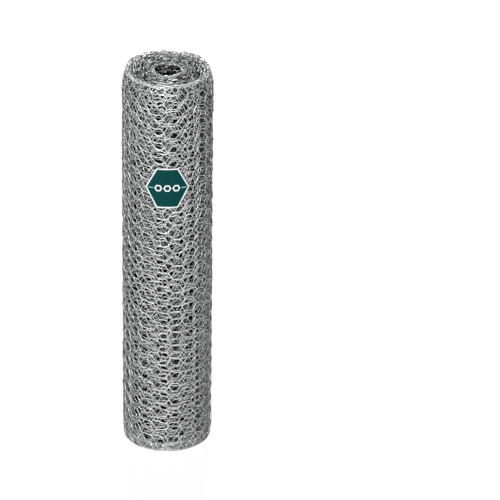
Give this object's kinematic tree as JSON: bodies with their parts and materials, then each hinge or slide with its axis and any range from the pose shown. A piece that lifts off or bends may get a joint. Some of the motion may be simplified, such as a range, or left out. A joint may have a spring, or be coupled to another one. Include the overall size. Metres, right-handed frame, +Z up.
{
  "type": "roll of hexagonal wire netting",
  "caption": "Upright roll of galvanised hexagonal wire netting with an open bore, its wound turns showing on both ends, and a plain hexagonal card label on its front.",
  "frame": {"origin": "on the floor at the axis of the roll", "axes": "+Z up along the axis of the roll and its bore; the label faces -Y"},
  "size_m": [0.132, 0.1328, 0.6],
  "materials": {
    "galvanised_wire": "galvanised, dull to bright",
    "label_card": "printed card, satin"
  },
  "bodies": {
    "root": {"netting_roll": "galvanised_wire", "label_card": "label_card"}
  },
  "joints": []
}
